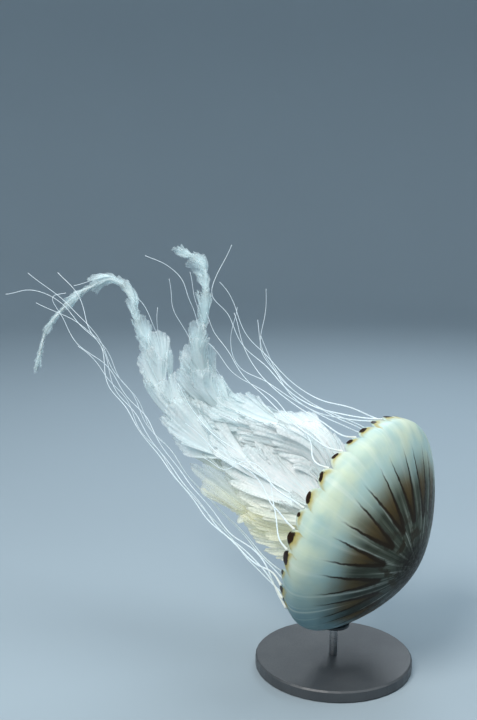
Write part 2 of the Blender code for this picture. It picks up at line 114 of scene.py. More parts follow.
# Compass marks: V shapes that point at the crown
MARKS = 16
MARK_START = 0.044  # distance from the axis of the closed end
MARK_END = 0.097
MARK_HALF_WIDTH = 0.0112
MARK_LINE = 0.0016
RAYS = 16.0  # how fine the streaks that run from crown to margin are
SPOT_LONG = 0.0056
SPOT_HIGH = 0.0046
# What roughens the spots' outline: scale, detail, height and base
SPOT_EDGES = [(70, 3, 2.1, -1.05), (33, 1, 1.2, -0.66), (210, 3, 1.1, -0.55)]

AXIS = np.array([math.cos(BELL_PITCH) * math.cos(BELL_HEADING),
                 math.cos(BELL_PITCH) * math.sin(BELL_HEADING),
                 math.sin(BELL_PITCH)])
RAISED = np.array([0.0, 0.0, 1.0]) - AXIS * AXIS[2]
RAISED /= norm(RAISED)
NEAR = np.cross(AXIS, RAISED)

# Routes in millimetres. The arms': (along, raised, near, half width), from the mouth to the tip
PER_METRE = 1000
ARM_ROUTES = {
    "arm_raised": [(-22, 12, 0, 9), (-40, 36, 0, 19), (-66, 60, 2, 27), (-105, 60, 4, 31),
        (-148, 52, 6, 29), (-188, 50, 8, 24), (-213, 67, 14, 19), (-227, 97, 22, 11),
        (-230, 133, 24, 8), (-238, 158, 22, 8), (-252, 183, 20, 8), (-279, 190, 29, 4)],
    "arm_near": [(-22, 0, 12, 9), (-45, 2, 29, 18), (-80, 6, 42, 27), (-120, 6, 42, 31),
        (-165, 8, 36, 28), (-209, 16, 30, 24), (-250, 32, 28, 20), (-289, 71, 28, 10),
        (-315, 99, 32, 8), (-328, 120, 33, 8), (-353, 131, 41, 7), (-372, 115, 52, 5),
        (-390, 87, 65, 4), (-402, 55, 75, 3), (-402, 10, 80, 3)],
    "arm_lower": [(-22, -12, 0, 9), (-42, -26, 4, 17), (-70, -38, 10, 25), (-98, -42, 16, 24),
        (-124, -38, 20, 14)],
    "arm_far": [(-22, 0, -12, 9), (-45, 0, -29, 18), (-80, -4, -40, 26), (-120, -8, -38, 28),
        (-160, -10, -30, 24), (-198, -4, -18, 17), (-232, 12, -10, 8)],
}
ARM_OUTWARD = {"arm_raised": RAISED, "arm_near": NEAR, "arm_lower": -RAISED, "arm_far": -NEAR}
ARM_TWISTS = {"arm_raised": radians(75), "arm_near": 0.0,
              "arm_lower": 0.0, "arm_far": radians(20)}

# The tentacles' streams, one for each octant of the margin: the trunk that its three
# tentacles share and where each of the three ends, as (along, raised, near)
STREAMS = [
    ([(-44, 25, 70), (-68, 30, 64), (-105, 33, 66)],
     [[(-150, 43, 66), (-188, 56, 70), (-207, 74, 72)],
      [(-148, 30, 68), (-190, 36, 68)],
      [(-128, 18, 70), (-158, 12, 68)]]),
    ([(-43, -46, 70), (-94, -42, 66), (-150, -22, 71), (-201, 5, 78), (-266, 47, 91)],
     [[(-310, 82, 94), (-346, 106, 108), (-384, 114, 130), (-402, 106, 145)],
      [(-304, 90, 102), (-338, 122, 104), (-366, 138, 108)],
      [(-300, 74, 108), (-334, 98, 122), (-350, 118, 124), (-342, 126, 116)]]),
    ([(-62, -74, 26), (-97, -72, 18), (-153, -52, 26), (-216, -20, 40), (-284, 24, 52)],
     [[(-320, 44, 66), (-348, 56, 78)],
      [(-328, 60, 58), (-362, 82, 74), (-398, 90, 100)],
      [(-332, 76, 72), (-372, 104, 88), (-410, 120, 108)]]),
    ([(-60, -90, -50), (-110, -76, -74), (-188, -47, -53), (-259, -13, -33)],
     [[(-308, 34, -20), (-324, 74, -17), (-352, 102, -11), (-392, 114, 12), (-418, 100, 30)],
      [(-306, 30, -24), (-324, 64, -24), (-336, 98, -26)],
      [(-300, 20, -30), (-330, 50, -34)]]),
    ([(-70, -20, -94), (-132, -24, -84), (-194, 9, -56), (-234, 44, -34)],
     [[(-259, 93, -14), (-275, 127, -6), (-292, 154, 2), (-307, 163, 11), (-326, 165, 24)],
      [(-256, 78, -32), (-280, 116, -28), (-296, 158, -16)],
      [(-270, 80, -16), (-296, 118, -2), (-304, 148, 6)]]),
    ([(-50, 58, -66), (-84, 64, -50), (-128, 74, -38)],
     [[(-166, 80, -44), (-194, 104, -42), (-206, 136, -46), (-212, 166, -48)],
      [(-170, 94, -32), (-194, 122, -34)],
      [(-172, 74, -30), (-204, 84, -22), (-222, 106, -18), (-228, 140, -26)]]),
    ([(-53, 84, -14), (-85, 82, -12), (-130, 92, -6)],
     [[(-174, 122, 4), (-204, 154, 14), (-222, 174, 26)],
      [(-176, 116, 8), (-200, 144, 26), (-216, 162, 38), (-222, 186, 32), (-222, 214, 22)],
      [(-166, 112, -10), (-188, 142, -8)]]),
    ([(-53, 80, 22), (-92, 86, 23), (-138, 98, 30)],
     [[(-168, 127, 29), (-190, 153, 35)],
      [(-175, 117, 40), (-199, 130, 48), (-210, 150, 50)],
      [(-172, 106, 49), (-194, 122, 58)]]),
]


# ---- curves and the bell's form

def bezier(first, second, third, last, t):
    left = 1 - t
    return left**3 * first + 3 * left**2 * t * second + 3 * left * t**2 * third + t**3 * last


def smoothstep(low, high, value):
    t = np.clip((value - low) / (high - low), 0, 1)
    return t * t * (3 - 2 * t)


def wander(distance, seed):
    """A smooth irregular wave between about -1 and 1."""
    first = np.sin(distance + seed)
    second = 0.6 * np.sin(2.17 * distance + 1.9 * seed + 1)
    third = 0.4 * np.sin(3.83 * distance + 0.7 * seed + 2)
    return (first + second + third) / 1.7


def outer_profile(share):
    """Radius and height of the bell's outer surface, share 0 at the crown, 1 at the tips."""
    t = np.clip(share / EQUATOR, 0, 1)
    u = np.clip((share - EQUATOR) / (1 - EQUATOR), 0, 1)
    belly = MARGIN_RADIUS + BELLY_PULL * (BELL_RADIUS - MARGIN_RADIUS)
    upper_radius = bezier(0, CROWN_PULL * BELL_RADIUS, BELL_RADIUS, BELL_RADIUS, t)
    upper_height = bezier(BELL_HEIGHT, BELL_HEIGHT, SIDE_PULL * BELL_HEIGHT, 0, t)
    lower_radius = bezier(BELL_RADIUS, BELL_RADIUS, belly, MARGIN_RADIUS, u)
    lower_height = bezier(0, -RIM_PULL * MARGIN_DROP, -RIM_DROP * MARGIN_DROP, -MARGIN_DROP, u)
    above = share <= EQUATOR
    return (np.where(above, upper_radius, lower_radius),
            np.where(above, upper_height, lower_height))


def wall(share):
    return WALL_TIP + (WALL_CROWN - WALL_TIP) * np.maximum(0, 1 - share)**WALL_TAPER


def sunk_profile(share, depth):
    """The outer profile moved inwards by depth, and the direction it runs in there."""
    step = 0.002
    before = outer_profile(np.maximum(0, share - step))
    after = outer_profile(np.minimum(1, share + step))
    run_radius = after[0] - before[0]
    run_height = after[1] - before[1]
    run = np.hypot(run_radius, run_height)
    run_radius = run_radius / run
    run_height = run_height / run
    radius, height = outer_profile(share)
    return (np.maximum(0, radius + run_height * depth), height - run_radius * depth,
            run_radius, run_height)


def bell_space(along, raised, near):
    return (BELL_CENTRE + np.multiply.outer(along, AXIS) + np.multiply.outer(raised, RAISED)
            + np.multiply.outer(near, NEAR))


def bell_point(radius, height, angle):
    """A point on a bell profile at an angle round the axis, leaning with the crown."""
    lean = CROWN_LEAN * height / BELL_HEIGHT
    raised = radius * np.cos(angle) + lean * math.cos(CROWN_LEAN_ANGLE)
    near = radius * np.sin(angle) + lean * math.sin(CROWN_LEAN_ANGLE)
    return bell_space(height, raised, near)


def lowest_bell_point():
    shares, turns = np.meshgrid(np.arange(60, 90) / 100, np.radians(np.arange(120, 241)))
    radius, height = outer_profile(shares)
    places = bell_point(radius, height, turns).reshape(-1, 3)
    return places[places[:, 2].argmin()]


def smooth_path(points, count):
    """A smooth curve through the points, as count points evenly spaced along it.

    The slope at a point is a mean of the spans beside it that leans to the shorter one, so
    a short span beside a long one does not loop.
    """
    points = np.array(points, dtype=float)
    spans = norm(np.diff(points[:, :3], axis=0), axis=1)[:, None]
    slopes = np.diff(points, axis=0) / spans
    inner = (slopes[:-1] * spans[1:] + slopes[1:] * spans[:-1]) / (spans[:-1] + spans[1:])
    slopes = np.vstack([slopes[:1], inner, slopes[-1:]])
    fine = []
    for i, span in enumerate(spans):
        t = np.linspace(0, 1, SPAN_SAMPLES, endpoint=False)[:, None]
        fine.append((2 * t**3 - 3 * t**2 + 1) * points[i] + (3 * t**2 - 2 * t**3) * points[i + 1]
                    + span * ((t**3 - 2 * t**2 + t) * slopes[i] + (t**3 - t**2) * slopes[i + 1]))
    fine = np.vstack([*fine, points[-1]])
    steps = norm(np.diff(fine[:, :3], axis=0), axis=1)
    run = np.concatenate([[0], np.cumsum(steps)])
    stops = np.linspace(0, run[-1], count)
    return np.stack([np.interp(stops, run, column) for column in fine.T], axis=1)


def path_length(points):
    path = smooth_path(points, LENGTH_SAMPLES)[:, :3]
    return float(norm(np.diff(path, axis=0), axis=1).sum())


def carried_frames(path, outward):
    """Tangent, outward and side vectors at each point, turned as little as possible."""
    tangents = np.gradient(path, axis=0)
    tangents /= norm(tangents, axis=1, keepdims=True)
    normals = np.empty_like(path)
    normal = np.array(outward, dtype=float)
    for i, tangent in enumerate(tangents):
        normal = normal - tangent * normal.dot(tangent)
        normal /= norm(normal)
        normals[i] = normal
    return tangents, normals, np.cross(tangents, normals)


# ---- meshes

def add_object(name, data):
    thing = bpy.data.objects.new(name, data)
    bpy.context.scene.collection.objects.link(thing)
    return thing


def smooth_mesh(name, points, quads, triangles, surface):
    corners = np.concatenate([np.ravel(quads), np.ravel(triangles)]).astype(np.int32)
    sizes = np.concatenate([np.full(len(quads), 4), np.full(len(triangles), 3)])
    starts = np.concatenate([[0], np.cumsum(sizes)[:-1]]).astype(np.int32)
    mesh = bpy.data.meshes.new(name)
    mesh.vertices.add(len(points))
    mesh.vertices.foreach_set("co", np.ravel(points).astype(np.float32))
    mesh.loops.add(len(corners))
    mesh.loops.foreach_set("vertex_index", corners)
    mesh.polygons.add(len(starts))
    mesh.polygons.foreach_set("loop_start", starts)
    mesh.update(calc_edges=True)
    mesh.shade_smooth()
    mesh.materials.append(surface)
    return mesh


def make_piece(name, form, flat, surface, facts, start):
    """A piece that stands for the CAD nodes whose names begin with start.

    Its form is points, quads and triangles, flat is where its corners lie on a flat map, and
    the facts are what its material reads at each point.
    """
    mesh = smooth_mesh(name, *form, surface)
    mesh.uv_layers.new(name="OFBake").uv.foreach_set("vector", np.ravel(flat).astype(np.float32))
    for fact, values in facts:
        layer = mesh.attributes.new(fact, "FLOAT_VECTOR", "POINT")
        layer.data.foreach_set("vector", np.ravel(values).astype(np.float32))
    piece = add_object(name, mesh)
    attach(piece, "root")
    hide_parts(*[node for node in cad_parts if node.startswith(start)])


def grid_quads(rows, columns, wrap, start=0):
    """Quads of a grid of points, closed round its columns if wrap is true."""
    last = columns if wrap else columns - 1
    row, column = np.meshgrid(np.arange(rows - 1), np.arange(last), indexing="ij")
    here = start + row * columns
    following = (column + 1) % columns
    quads = np.stack([here + column, here + columns + column,
                      here + columns + following, here + following], axis=-1)
    return quads.reshape(-1, 4)


def end_fans(rows, columns, start=0):
    """Triangles that close both ends of a wrapped grid with the two points that follow it."""
    ring = start + np.arange(columns)
    following = np.roll(ring, -1)
    tip = start + rows * columns
    last = (rows - 1) * columns
    return np.concatenate([
        np.stack([ring, following, np.full(columns, tip)], axis=-1),
        np.stack([following + last, ring + last, np.full(columns, tip + 1)], axis=-1)])


def flat_grid(rows, columns, wrap, width, height):
    """Where the corners of grid_quads lie on a flat patch of this size."""
    last = columns if wrap else columns - 1
    row, column = np.meshgrid(np.arange(rows - 1), np.arange(last), indexing="ij")
    across = (column.reshape(-1, 1) + [0, 0, 1, 1]) / last
    down = (row.reshape(-1, 1) + [0, 1, 1, 0]) / (rows - 1)
    return np.stack([across * width, (1 - down) * height], axis=-1)


def flat_tube(rows, columns, width, height, beyond):
    """Where a wrapped grid's corners lie, and those of its end fans: teeth along two edges."""
    step = np.arange(columns)[:, None]
    teeth = [np.stack([(step + order) / columns * width, level + past + 0 * step], axis=-1)
             for order, level, past in (([0, 1, 0.5], height, np.array([0, 0, beyond])),
                                        ([1, 0, 0.5], 0, np.array([0, 0, -beyond])))]
    return flat_grid(rows, columns, True, width, height), np.concatenate(teeth)


def flat_discs(run, split):
    """The flat map of such a grid as a great disc up to the split row and a small one past it."""
    rows, columns = run.shape
    along = run.mean(axis=1)
    step = TURN / columns

    def place(great, share, turn):
        spoke = np.where(great, 0.4, 0.18) * share
        turn = np.where(great, turn, -turn)
        middle = np.where(great, 0.4, 0.82)
        return np.stack([middle + spoke * np.cos(turn), middle + spoke * np.sin(turn)], axis=-1)

    row, column = np.meshgrid(np.arange(rows - 1), np.arange(columns), indexing="ij")
    here = along[row.reshape(-1, 1) + [0, 1, 1, 0]]
    great = row.reshape(-1, 1) < split
    share = np.where(great, here / along[split], (along[-1] - here) / (along[-1] - along[split]))
    body = place(great, 0.02 + 0.97 * share, step * (column.reshape(-1, 1) + [0, 0, 1, 1]))
    tooth = np.array([0.02, 0.02, 0])
    crown = place(True, tooth, step * (np.arange(columns)[:, None] + [0, 1, 0]))
    roof = place(False, tooth, step * (np.arange(columns)[:, None] + [1, 0, 0]))
    return np.concatenate([part.reshape(-1, 2) for part in (body, crown, roof)])


def shelve(sizes):
    """Sets patches in rows in a square: each one's corner, and how wide and high they all are."""
    width = max(max(size[0] for size in sizes), math.sqrt(sum(w * h for w, h in sizes)))
    corners = np.zeros((len(sizes), 2))
    x = y = shelf = reach = 0.0
    for k in sorted(range(len(sizes)), key=lambda k: -sizes[k][1]):
        wide, high = sizes[k]
        if x + wide > width * 1.0001:
            x, y, shelf = 0.0, y + shelf, 0.0
        corners[k] = x, y
        x += wide
        shelf = max(shelf, high)
        reach = max(reach, x)
    return corners, np.array([reach, y + shelf])


class Sheets:
    """Thin closed sheets and tubes gathered into one mesh, each with patches on a flat map."""

    def __init__(self):
        self.points = []
        self.quads = []
        self.triangles = []
        self.facts = []
        self.patches = []
        self.flat_quads = []
        self.flat_triangles = []
        self.count = 0

    def add_patch(self, width, height):
        self.patches.append((width + PATCH_GAP, height + PATCH_GAP))
        return len(self.patches) - 1

    def add_sheet(self, middle, thickness, facts):
        """A closed sheet from the grid of its middle surface and its thickness there."""
        rows, columns = middle.shape[:2]
        across = np.cross(np.gradient(middle, axis=0), np.gradient(middle, axis=1))
        across /= np.maximum(norm(across, axis=2, keepdims=True), 1e-12)
        shift = across * (thickness / 2)[..., None]
        size = rows * columns
        top = self.count + np.arange(size).reshape(rows, columns)
        rim_top = np.concatenate([top[0], top[1:, -1], top[-1, -2::-1], top[-2:0:-1, 0]])
        rim_bottom = rim_top + size
        rim = np.stack([rim_top, np.roll(rim_top, -1), np.roll(rim_bottom, -1), rim_bottom], -1)
        upper = grid_quads(rows, columns, False, self.count)
        lower = grid_quads(rows, columns, False, self.count + size)[:, ::-1]
        width = norm(np.diff(middle, axis=1), axis=2).sum(axis=1).mean()
        height = norm(np.diff(middle, axis=0), axis=2).sum(axis=0).mean()
        front, back = self.add_patch(width, height), self.add_patch(width, height)
        flat = flat_grid(rows, columns, False, width, height)
        turned = flat[:, ::-1] * [-1, 1] + [width, 0]
        sideways, upwards = np.linspace(0, width, columns), np.linspace(height, 0, rows)
        at = np.stack(np.meshgrid(sideways, upwards), axis=-1)
        edge = np.concatenate([at[0], at[1:, -1], at[-1, -2::-1], at[-2:0:-1, 0]])
        outwards = np.sign(np.round(edge / [width, height] - 0.5, 6))  # exactly 0 midway
        beyond = edge + outwards * EDGE_THICK
        border = np.stack([edge, np.roll(edge, -1, 0), np.roll(beyond, -1, 0), beyond], axis=1)
        self.flat_quads += [(front, flat), (back, turned), (front, border)]
        self.points += [(middle + shift).reshape(-1, 3), (middle - shift).reshape(-1, 3)]
        self.quads += [upper, lower, rim]
        self.facts += [facts.reshape(size, -1)] * 2
        self.count += 2 * size

    def add_tube(self, centres, frames, radius, sides, facts):
        """A closed round tube; facts has a row for each centre and each side."""
        tangents, normals, across = frames
        rows = len(centres)
        total = rows * sides
        angle = TURN * np.arange(sides) / sides
        ring = (normals[:, None] * np.cos(angle)[None, :, None]
                + across[:, None] * np.sin(angle)[None, :, None])
        points = centres[:, None] + ring * radius[:, None, None]
        base = self.count
        self.points += [points.reshape(-1, 3), centres[:1] - tangents[:1] * radius[0],
                        centres[-1:] + tangents[-1:] * radius[-1]]
        self.facts += [facts.reshape(total, -1), facts[0, :1], facts[-1, :1]]
        self.quads.append(grid_quads(rows, sides, True, base))
        self.triangles.append(end_fans(rows, sides, base))
        height = norm(np.diff(centres, axis=0), axis=1).sum()
        width = TURN * radius.mean()
        patch = self.add_patch(width, height)
        body, teeth = flat_tube(rows, sides, width, height, EDGE_THICK)
        self.flat_quads.append((patch, body))
        self.flat_triangles.append((patch, teeth))
        self.count += total + 2

    def arrays(self):
        """The form (points, quads and triangles), its corners' places on a map, and the facts."""
        corners, whole = shelve(self.patches)
        flat = [(places + corners[patch] + PATCH_GAP / 2).reshape(-1, 2) / whole
                for patch, places in self.flat_quads + self.flat_triangles]
        triangles = np.concatenate(self.triangles) if self.triangles else np.zeros((0, 3), int)
        form = np.concatenate(self.points), np.concatenate(self.quads), triangles
        return form, np.concatenate(flat), np.concatenate(self.facts)


# ---- materials

class Shader:
    """A Principled material and short ways to add nodes to it."""

    def __init__(self, name):
        self.material = bpy.data.materials.new(name)
        self.material.use_nodes = True
        self.tree = self.material.node_tree
        self.main = self.tree.nodes["Principled BSDF"]

    def put(self, socket, value):
        if isinstance(value, bpy.types.NodeSocket):
            self.tree.links.new(value, socket)
        elif value is not None:
            socket.default_value = value

    def set(self, **values):
        for name, value in values.items():
            self.put(self.main.inputs[name.replace("_", " ")], value)

    def node(self, kind, **inputs):
        made = self.tree.nodes.new("ShaderNode" + kind)
        for name, value in inputs.items():
            self.put(made.inputs[name.replace("_", " ")], value)
        return made

    def math(self, kind, *values):
        node = self.node("Math")
        node.operation = kind
        for socket, value in zip(node.inputs, values):
            self.put(socket, value)
        return node.outputs[0]

    def times(self, first, second):
        return self.math("MULTIPLY", first, second)

    def plus(self, first, second):
        return self.math("ADD", first, second)

    def minus(self, first, second):
        return self.math("SUBTRACT", first, second)

    def over(self, first, second):
        return self.math("DIVIDE", first, second)

    def line(self, value, slope, base):
        return self.math("MULTIPLY_ADD", value, slope, base)

    def step(self, value, low, high, first=0.0, last=1.0):
        """A smooth step of value from low to high, going from first to last."""
        node = self.node("MapRange", Value=value, From_Min=low, From_Max=high, To_Min=first,
                         To_Max=last)
        node.interpolation_type = "SMOOTHSTEP"
        return node.outputs[0]

    def mix(self, factor, first, second):
        node = self.node("Mix")
        node.data_type = "RGBA"
        self.put(node.inputs[0], factor)
        for socket, value in ((node.inputs[6], first), (node.inputs[7], second)):
            self.put(socket, (*value, 1) if isinstance(value, tuple) else value)
        return node.outputs[2]

    def fact(self, name):
        node = self.node("Attribute")
        node.attribute_name = name
        return self.node("SeparateXYZ", Vector=node.outputs["Vector"]).outputs

    def vector(self, x, y, z):
        return self.node("CombineXYZ", X=x, Y=y, Z=z).outputs[0]

    def place(self):
        return self.node("TexCoord").outputs["Object"]

    def noise(self, where, scale, detail=2.0, roughness=0.5):
        return self.node("TexNoise", Vector=where, Scale=scale, Detail=detail,
                         Roughness=roughness).outputs["Fac"]

    def dice(self, number):
        """Three values between 0 and 1 that belong to a whole number."""
        node = self.node("TexWhiteNoise")
        node.noise_dimensions = "1D"
        self.put(node.inputs["W"], number)
        return self.node("SeparateColor", Color=node.outputs["Color"]).outputs

    def bump(self, height, strength, distance):
        node = self.node("Bump", Strength=strength, Distance=distance, Height=height)
        self.put(self.main.inputs["Normal"], node.outputs[0])


def bell_material():
    """Milky jelly with sixteen brown V marks, a brown crown and dark lappet spots; painted shade
    darkens the zone round the crown and the bell's lower side.
    """
    s = Shader("bell_jelly_skin")
    sine, cosine, reach = s.fact("round")
    margin, inside, _ = s.fact("rim")
    place = s.place()
    turn = s.math("ARCTAN2", sine, cosine)

    fine = s.noise(place, 260, 4)
    medium = s.noise(place, 95, 3)
    broad = s.noise(place, 28, 3)
    ray_place = s.vector(s.times(sine, RAYS), s.times(cosine, RAYS), s.times(reach, 14.0))
    rays = s.noise(ray_place, 1.0, 3)

    # Where a point lies in its V mark: side to side from the middle line, and outwards
    sector = s.times(turn, MARKS / TURN)
    drift = s.line(medium, 0.1, -0.05)
    sector = s.plus(sector, drift)
    sector = s.minus(s.math("FRACT", s.plus(sector, 0.5)), 0.5)
    side = s.times(s.math("ABSOLUTE", sector), s.times(reach, TURN / MARKS))
    outwards = s.over(s.minus(reach, MARK_START), MARK_END - MARK_START)
    clamped = s.math("MAXIMUM", outwards, 0.0)
    half = s.times(s.math("POWER", clamped, 0.8), MARK_HALF_WIDTH)
    off_line = s.math("ABSOLUTE", s.minus(side, half))
    line_half = s.step(outwards, 0.0, 1.1, 1.55 * MARK_LINE, 0.45 * MARK_LINE)
    ragged = s.line(fine, 0.9, 0.55)
    line = s.step(off_line, s.times(line_half, 0.4),
                  s.times(line_half, s.times(ragged, 1.5)), 1.0, 0.0)
    starts = s.step(outwards, -0.05, 0.03)
    fades = s.step(outwards, 0.8, 1.12, 1.0, 0.0)
    line = s.times(line, s.times(starts, fades))
    within = s.step(s.minus(half, side), -0.0004, 0.001)
    fill = s.times(within, s.step(outwards, 0.4, 1.05, 1.0, 0.0))
    fill = s.times(fill, s.step(rays, 0.3, 0.62, 0.75, 1.0))
    fill = s.times(fill, starts)

    crown = s.step(s.line(medium, 0.024, reach), 0.03, 0.048, 1.0, 0.0)
    crown = s.times(crown, s.step(fine, 0.3, 0.6, 0.6, 1.0))
    freckles = s.times(s.step(medium, 0.48, 0.62), s.step(reach, 0.036, 0.07, 0.9, 0.0))

    # Dark spots on the lappets, with an ochre edge towards the bell
    lappet = s.times(turn, CLEFTS / TURN)
    large, aside, high = s.dice(s.math("FLOOR", lappet))
    large = s.line(large, 0.6, 0.62)
    lappet = s.minus(s.math("FRACT", lappet), 0.5)
    sideways = s.times(lappet, s.times(reach, TURN / CLEFTS))
    shift = s.line(s.noise(place, 24, 1), 0.01, -0.005)
    shift = s.line(aside, 0.007, s.minus(shift, 0.0035))
    sideways = s.over(s.plus(sideways, shift), large)
    rise = s.minus(margin, s.line(high, 0.0018, 0.0014))
    rise = s.over(rise, large)
    far = s.math("SQRT", s.plus(s.math("POWER", s.over(sideways, SPOT_LONG), 2.0),
                                s.math("POWER", s.over(rise, SPOT_HIGH), 2.0)))
    for scale, detail, height, base in SPOT_EDGES:
        far = s.plus(far, s.line(s.noise(place, scale, detail), height, base))
    spot = s.step(far, 0.75, 1.15, 1.0, 0.0)
    halo = s.times(s.step(far, 1.0, 2.7, 0.85, 0.0), s.step(margin, 0.001, 0.005))

    # Painted shade: the colour darkens towards the bell's lower side, bluish on the cream band
    # and near black round the crown
    raised = s.math("COSINE", s.plus(turn, CLEFT_PHASE))
    low = s.step(raised, -0.75, 0.2, 1.0, 0.0)
    cream = s.mix(s.step(broad, 0.35, 0.65), (0.64, 0.73, 0.58), (0.44, 0.61, 0.58))
    cream = s.mix(s.times(low, 0.85), cream, (0.13, 0.245, 0.29))
    # Painted shade: the zone round the crown between the marks is painted dark; the cream band
    # near the margin is the jelly's own colour
    pale = s.mix(s.step(rays, 0.3, 0.65), (0.036, 0.043, 0.031), (0.098, 0.115, 0.086))
    pale = s.mix(s.times(low, 0.75), pale, (0.022, 0.029, 0.026))
    jelly = s.mix(s.step(s.line(broad, 0.024, reach), 0.08, 0.118), pale, cream)
    jelly = s.mix(s.step(rays, 0.52, 0.8, 0.0, 0.5), jelly, (0.76, 0.82, 0.74))
    jelly = s.mix(fill, jelly,
                  s.mix(s.step(outwards, 0.05, 0.8), (0.028, 0.019, 0.009), (0.12, 0.078, 0.026)))
    for share, colour in ((freckles, (0.032, 0.024, 0.012)),
                          (s.times(line, 0.97), (0.022, 0.014, 0.008)),
                          (crown, (0.016, 0.013, 0.008)), (halo, (0.44, 0.34, 0.055)),
                          (spot, (0.02, 0.01, 0.006))):
        jelly = s.mix(share, jelly, colour)
    jelly = s.mix(inside, jelly, s.mix(0.55, jelly, (0.8, 0.84, 0.76)))

    clear = s.step(margin, 0.0, 0.045, 0.8, 0.975)
    dark = s.math("MAXIMUM", s.math("MAXIMUM", spot, line), fill)
    s.set(Base_Color=jelly, Alpha=s.math("MAXIMUM", clear, dark),
          Roughness=s.step(fine, 0.3, 0.7, 0.3, 0.46), IOR=1.36, Specular_IOR_Level=0.13,
          Subsurface_Weight=0.55, Subsurface_Radius=(1.0, 0.95, 0.8), Subsurface_Scale=0.006,
          Coat_Weight=0.04, Coat_Roughness=0.12)
    relief = s.plus(s.times(fine, 0.5), s.times(rays, 0.8))
    s.bump(relief, 0.35, 0.0006)
    return s.material


def arm_material():
    """White gauze-like jelly, faintly streaked from root to edge, clearer where it frays, with a
    faint painted glow that lifts its shade, brighter in the cream parts.
    """
    s = Shader("arm_jelly_skin")
    across, down, edge = s.fact("weave")
    thin, cream, tint = s.fact("tone")
    place = s.place()
    streak_place = s.vector(s.times(across, 26.0), s.times(down, 55.0),
                            s.times(tint, 12.0))
    streaks = s.noise(streak_place, 1.0, 3, 0.6)
    cloud = s.noise(place, 60, 4)
    fine = s.noise(place, 420, 3)
    white = s.mix(s.step(cloud, 0.32, 0.66), (0.81, 0.875, 0.885), (0.9, 0.925, 0.925))
    white = s.mix(s.step(streaks, 0.35, 0.62, 0.45, 0.0), white, (0.65, 0.85, 0.88))
    white = s.mix(s.times(thin, 0.5), white, (0.51, 0.77, 0.83))
    white = s.mix(s.times(cream, 0.8), white, (0.84, 0.86, 0.66))
    white = s.mix(s.times(tint, 0.18), white, (0.78, 0.86, 0.88))
    # Painted light: a faint glow, stronger in the cream parts, stands in for light scattered
    # through the sheets and lifts their shade
    painted_glow = s.mix(0.7, white, (0.0, 0.0, 0.0))
    painted_glow = s.mix(cream, painted_glow, (1.0, 0.97, 0.7))
    worn = s.line(streaks, 0.8, s.times(fine, 0.5))
    fray = s.times(s.step(edge, 0.42, 1.0), s.step(worn, 0.3, 0.95, 1.0, 0.45))
    deep = s.line(thin, -0.12, -0.74)
    veil = s.line(s.times(thin, s.step(edge, 0.0, 0.5)), -0.55, 1.0)
    s.set(Base_Color=white, Alpha=s.times(veil, s.line(fray, deep, 1.0)),
          Roughness=s.step(streaks, 0.3, 0.7, 0.4, 0.6), IOR=1.36,
          Subsurface_Weight=0.4, Subsurface_Radius=(1.0, 1.0, 1.0), Subsurface_Scale=0.004,
          Emission_Color=painted_glow, Emission_Strength=0.1)
    s.bump(s.plus(streaks, s.times(fine, 0.2)), 0.08, 0.0004)
    return s.material


def tentacle_material():
    s = Shader("tentacle_jelly_skin")
    along, across, edge = s.fact("weave")
    beads = s.noise(s.vector(s.times(along, 700.0), 0.0, across), 1.0, 2)
    tint = s.mix(s.step(beads, 0.3, 0.7), (0.66, 0.8, 0.87), (0.8, 0.89, 0.93))
    tint = s.mix(s.step(edge, 0.0, 0.1, 0.5, 0.0), tint, (0.7, 0.66, 0.48))
    s.set(Base_Color=tint, Roughness=s.step(beads, 0.3, 0.7, 0.28, 0.42), IOR=1.36,
          Subsurface_Weight=0.4, Subsurface_Radius=(1.0, 1.0, 1.0), Subsurface_Scale=0.002)
    s.bump(beads, 0.2, 0.0002)
    return s.material


# ---- the bell

def turned_shell(radius, height, angle, tips):
    """A profile's rows turned about the bell's axis, closed at both ends by points on it."""
    rows, columns = radius.shape
    points = bell_point(radius, height, angle[None, :]).reshape(-1, 3)
    ends = [bell_point(np.array(0.0), tip, 0) for tip in tips]
    return np.vstack([points, *ends]), grid_quads(rows, columns, True), end_fans(rows, columns)


